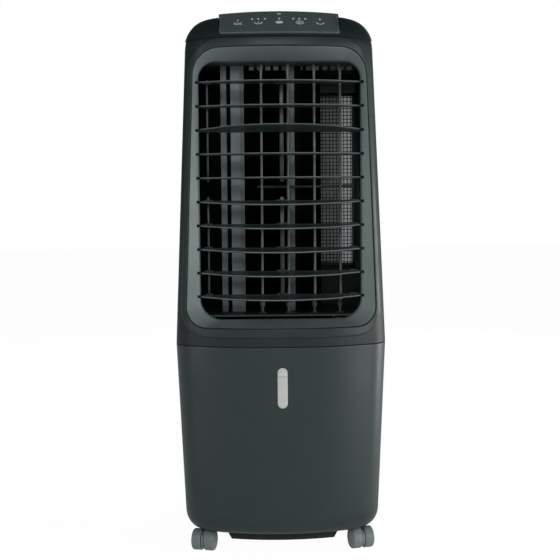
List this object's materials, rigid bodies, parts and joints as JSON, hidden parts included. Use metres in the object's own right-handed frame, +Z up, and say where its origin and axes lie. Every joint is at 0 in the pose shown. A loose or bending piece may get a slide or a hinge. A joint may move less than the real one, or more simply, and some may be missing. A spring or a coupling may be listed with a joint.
{
  "type": "evaporative cooler",
  "caption": "Upright evaporative air cooler: tapered cabinet with bowed front, louvered outlet, vertical blower, pull-out water tank and swivel casters.",
  "frame": {"origin": "on the floor under the middle of the object's box", "axes": "+Z up, -Y out of the louvered front, +X to the right seen from the front"},
  "size_m": [0.3266, 0.313, 0.8252],
  "materials": {
    "front_charcoal": "satin moulded ABS, charcoal with a green tint",
    "control_charcoal": "semi-gloss touch panel film",
    "rear_charcoal": "fine-grained moulded plastic, near black",
    "louver_black": "satin moulded plastic",
    "blower_black": "matte moulded plastic",
    "duct_grey": "matte moulded plastic",
    "base_black": "matte moulded plastic",
    "caster_grey": "satin nylon",
    "window_grey": "frosted translucent plastic",
    "float_white": "smooth foam-filled plastic",
    "pad_brown": "resin-stiffened cellulose honeycomb",
    "tank_grey": "moulded polypropylene, near black",
    "motor_steel": "zinc-plated pressed steel",
    "board_green": "solder mask on glass epoxy",
    "hose_clear": "clear soft PVC"
  },
  "bodies": {
    "cabinet": {"front_housing": "rear_charcoal", "lower_front_panel": "front_charcoal", "rear_housing": "rear_charcoal", "top_cover": "rear_charcoal", "outlet_surround": "front_charcoal", "outlet_frame": "front_charcoal", "duct_floor": "duct_grey", "duct_ceiling": "duct_grey", "volute_wall": "duct_grey", "duct_baffle": "rear_charcoal", "volute_tongue": "duct_grey", "blower_motor": "motor_steel", "blower_top_bearing": "motor_steel", "swing_motor": "motor_steel", "cooling_pad": "pad_brown", "level_window": "window_grey", "water_pump": "base_black", "water_distributor": "duct_grey", "pump_hose": "hose_clear", "control_plate": "control_charcoal", "control_board": "board_green", "cord_gland": "base_black", "base_pan": "base_black"},
    "louver_01": {"louver_01": "louver_black"},
    "louver_02": {"louver_02": "louver_black"},
    "louver_03": {"louver_03": "louver_black"},
    "louver_04": {"louver_04": "louver_black"},
    "louver_05": {"louver_05": "louver_black"},
    "louver_06": {"louver_06": "louver_black"},
    "louver_07": {"louver_07": "louver_black"},
    "louver_08": {"louver_08": "louver_black"},
    "louver_09": {"louver_09": "louver_black"},
    "louver_10": {"louver_10": "louver_black"},
    "centre_link_rod_upper": {"centre_link_rod_upper": "louver_black"},
    "centre_link_rod_lower": {"centre_link_rod_lower": "louver_black"},
    "side_link_rod_upper": {"side_link_rod_upper": "louver_black"},
    "side_link_rod_lower": {"side_link_rod_lower": "louver_black"},
    "vane_1": {"vane_1": "louver_black"},
    "vane_2": {"vane_2": "louver_black"},
    "vane_3": {"vane_3": "louver_black"},
    "vane_4": {"vane_4": "louver_black"},
    "vane_link_bar": {"vane_link_bar": "louver_black"},
    "blower_wheel": {"blower_wheel": "blower_black"},
    "water_tank": {"water_tank": "tank_grey"},
    "level_float": {"level_float": "float_white"},
    "rear_grille": {"rear_grille": "rear_charcoal"},
    "tank_latch": {"tank_latch": "rear_charcoal"},
    "caster_fork_front_left": {"caster_fork_front_left": "caster_grey"},
    "caster_wheels_front_left": {"caster_wheels_front_left": "caster_grey"},
    "caster_fork_rear_left": {"caster_fork_rear_left": "caster_grey"},
    "caster_wheels_rear_left": {"caster_wheels_rear_left": "caster_grey"},
    "caster_fork_front_right": {"caster_fork_front_right": "caster_grey"},
    "caster_wheels_front_right": {"caster_wheels_front_right": "caster_grey"},
    "caster_fork_rear_right": {"caster_fork_rear_right": "caster_grey"},
    "caster_wheels_rear_right": {"caster_wheels_rear_right": "caster_grey"}
  },
  "joints": [
    {"name": "louver_01_tilt", "type": "hinge", "parent": "cabinet", "child": "louver_01", "pos_m": [0, -0.1, 0.719], "axis": [1, 0, 0], "range_deg": [-25, 25]},
    {"name": "louver_02_tilt", "type": "hinge", "parent": "cabinet", "child": "louver_02", "pos_m": [0, -0.1, 0.6831], "axis": [1, 0, 0], "range_deg": [-25, 25]},
    {"name": "louver_03_tilt", "type": "hinge", "parent": "cabinet", "child": "louver_03", "pos_m": [0, -0.1, 0.6472], "axis": [1, 0, 0], "range_deg": [-12.5, 37.5]},
    {"name": "louver_04_tilt", "type": "hinge", "parent": "cabinet", "child": "louver_04", "pos_m": [0, -0.1, 0.6113], "axis": [1, 0, 0], "range_deg": [-25, 25]},
    {"name": "louver_05_tilt", "type": "hinge", "parent": "cabinet", "child": "louver_05", "pos_m": [0, -0.1, 0.5754], "axis": [1, 0, 0], "range_deg": [-25, 25]},
    {"name": "louver_06_tilt", "type": "hinge", "parent": "cabinet", "child": "louver_06", "pos_m": [0, -0.1, 0.5395], "axis": [1, 0, 0], "range_deg": [-33, 17]},
    {"name": "louver_07_tilt", "type": "hinge", "parent": "cabinet", "child": "louver_07", "pos_m": [0, -0.1, 0.5036], "axis": [1, 0, 0], "range_deg": [-33, 17]},
    {"name": "louver_08_tilt", "type": "hinge", "parent": "cabinet", "child": "louver_08", "pos_m": [0, -0.1, 0.4677], "axis": [1, 0, 0], "range_deg": [-33, 17]},
    {"name": "louver_09_tilt", "type": "hinge", "parent": "cabinet", "child": "louver_09", "pos_m": [0, -0.1, 0.4318], "axis": [1, 0, 0], "range_deg": [-33, 17]},
    {"name": "louver_10_tilt", "type": "hinge", "parent": "cabinet", "child": "louver_10", "pos_m": [0, -0.1, 0.3959], "axis": [1, 0, 0], "range_deg": [-33, 17]},
    {"name": "centre_link_rod_upper_pivot", "type": "hinge", "parent": "louver_01", "child": "centre_link_rod_upper", "pos_m": [0.003, -0.085, 0.719], "axis": [1, 0, 0], "range_deg": [-25, 25]},
    {"name": "centre_link_rod_lower_pivot", "type": "hinge", "parent": "louver_06", "child": "centre_link_rod_lower", "pos_m": [0.003, -0.08515, 0.54159], "axis": [1, 0, 0], "range_deg": [-17, 33]},
    {"name": "side_link_rod_upper_pivot", "type": "hinge", "parent": "louver_01", "child": "side_link_rod_upper", "pos_m": [-0.11, -0.085, 0.719], "axis": [1, 0, 0], "range_deg": [-25, 25]},
    {"name": "side_link_rod_lower_pivot", "type": "hinge", "parent": "louver_06", "child": "side_link_rod_lower", "pos_m": [-0.11, -0.08515, 0.54159], "axis": [1, 0, 0], "range_deg": [-17, 33]},
    {"name": "vane_1_swing", "type": "hinge", "parent": "cabinet", "child": "vane_1", "pos_m": [-0.0277, -0.061, 0.55], "axis": [0, 0, 1], "range_deg": [-35, 35]},
    {"name": "vane_2_swing", "type": "hinge", "parent": "cabinet", "child": "vane_2", "pos_m": [0.0129, -0.061, 0.55], "axis": [0, 0, 1], "range_deg": [-35, 35]},
    {"name": "vane_3_swing", "type": "hinge", "parent": "cabinet", "child": "vane_3", "pos_m": [0.0535, -0.061, 0.55], "axis": [0, 0, 1], "range_deg": [-35, 35]},
    {"name": "vane_4_swing", "type": "hinge", "parent": "cabinet", "child": "vane_4", "pos_m": [0.0935, -0.061, 0.55], "axis": [0, 0, 1], "range_deg": [-35, 35]},
    {"name": "vane_link_pivot", "type": "hinge", "parent": "vane_1", "child": "vane_link_bar", "pos_m": [-0.0277, -0.051, 0.5627], "axis": [0, 0, 1], "range_deg": [-35, 35]},
    {"name": "blower_spin", "type": "hinge", "parent": "cabinet", "child": "blower_wheel", "pos_m": [0.022, 0.014, 0.55], "axis": [0, 0, 1], "continuous": true},
    {"name": "tank_drawer", "type": "slide", "parent": "cabinet", "child": "water_tank", "axis": [0, 1, 0], "range_m": [0, 0.155]},
    {"name": "level_float_travel", "type": "slide", "parent": "water_tank", "child": "level_float", "axis": [0, 0, 1], "range_m": [-0.03, 0.022]},
    {"name": "rear_grille_tilt", "type": "hinge", "parent": "cabinet", "child": "rear_grille", "pos_m": [0, 0.1528, 0.422], "axis": [-1, 0, 0], "range_deg": [0, 40]},
    {"name": "tank_latch_turn", "type": "hinge", "parent": "cabinet", "child": "tank_latch", "pos_m": [0, 0.152, 0.314], "axis": [0, 1, 0], "range_deg": [0, 90]},
    {"name": "caster_swivel_front_left", "type": "hinge", "parent": "cabinet", "child": "caster_fork_front_left", "pos_m": [-0.1185, -0.078, 0.045], "axis": [0, 0, 1], "continuous": true},
    {"name": "caster_roll_front_left", "type": "hinge", "parent": "caster_fork_front_left", "child": "caster_wheels_front_left", "pos_m": [-0.12161, -0.08959, 0.0165], "axis": [-0.9659, 0.2588, 0], "continuous": true},
    {"name": "caster_swivel_rear_left", "type": "hinge", "parent": "cabinet", "child": "caster_fork_rear_left", "pos_m": [-0.1185, 0.098, 0.045], "axis": [0, 0, 1], "continuous": true},
    {"name": "caster_roll_rear_left", "type": "hinge", "parent": "caster_fork_rear_left", "child": "caster_wheels_rear_left", "pos_m": [-0.12357, 0.10888, 0.0165], "axis": [0.9063, 0.4226, 0], "continuous": true},
    {"name": "caster_swivel_front_right", "type": "hinge", "parent": "cabinet", "child": "caster_fork_front_right", "pos_m": [0.1185, -0.078, 0.045], "axis": [0, 0, 1], "continuous": true},
    {"name": "caster_roll_front_right", "type": "hinge", "parent": "caster_fork_front_right", "child": "caster_wheels_front_right", "pos_m": [0.12181, -0.08954, 0.0165], "axis": [-0.9613, -0.2756, 0], "continuous": true},
    {"name": "caster_swivel_rear_right", "type": "hinge", "parent": "cabinet", "child": "caster_fork_rear_right", "pos_m": [0.1185, 0.098, 0.045], "axis": [0, 0, 1], "continuous": true},
    {"name": "caster_roll_rear_right", "type": "hinge", "parent": "caster_fork_rear_right", "child": "caster_wheels_rear_right", "pos_m": [0.12538, 0.10783, 0.0165], "axis": [0.8192, -0.5736, 0], "continuous": true}
  ],
  "couplings": [
    {"joint": "louver_02_tilt", "follows": "louver_01_tilt", "ratio": 1},
    {"joint": "louver_04_tilt", "follows": "louver_01_tilt", "ratio": 1},
    {"joint": "louver_05_tilt", "follows": "louver_01_tilt", "ratio": 1},
    {"joint": "louver_07_tilt", "follows": "louver_06_tilt", "ratio": 1},
    {"joint": "louver_08_tilt", "follows": "louver_06_tilt", "ratio": 1},
    {"joint": "louver_09_tilt", "follows": "louver_06_tilt", "ratio": 1},
    {"joint": "louver_10_tilt", "follows": "louver_06_tilt", "ratio": 1},
    {"joint": "centre_link_rod_upper_pivot", "follows": "louver_01_tilt", "ratio": -1},
    {"joint": "centre_link_rod_lower_pivot", "follows": "louver_06_tilt", "ratio": -1},
    {"joint": "side_link_rod_upper_pivot", "follows": "louver_01_tilt", "ratio": -1},
    {"joint": "side_link_rod_lower_pivot", "follows": "louver_06_tilt", "ratio": -1},
    {"joint": "vane_2_swing", "follows": "vane_1_swing", "ratio": 1},
    {"joint": "vane_3_swing", "follows": "vane_1_swing", "ratio": 1},
    {"joint": "vane_4_swing", "follows": "vane_1_swing", "ratio": 1},
    {"joint": "vane_link_pivot", "follows": "vane_1_swing", "ratio": -1}
  ]
}
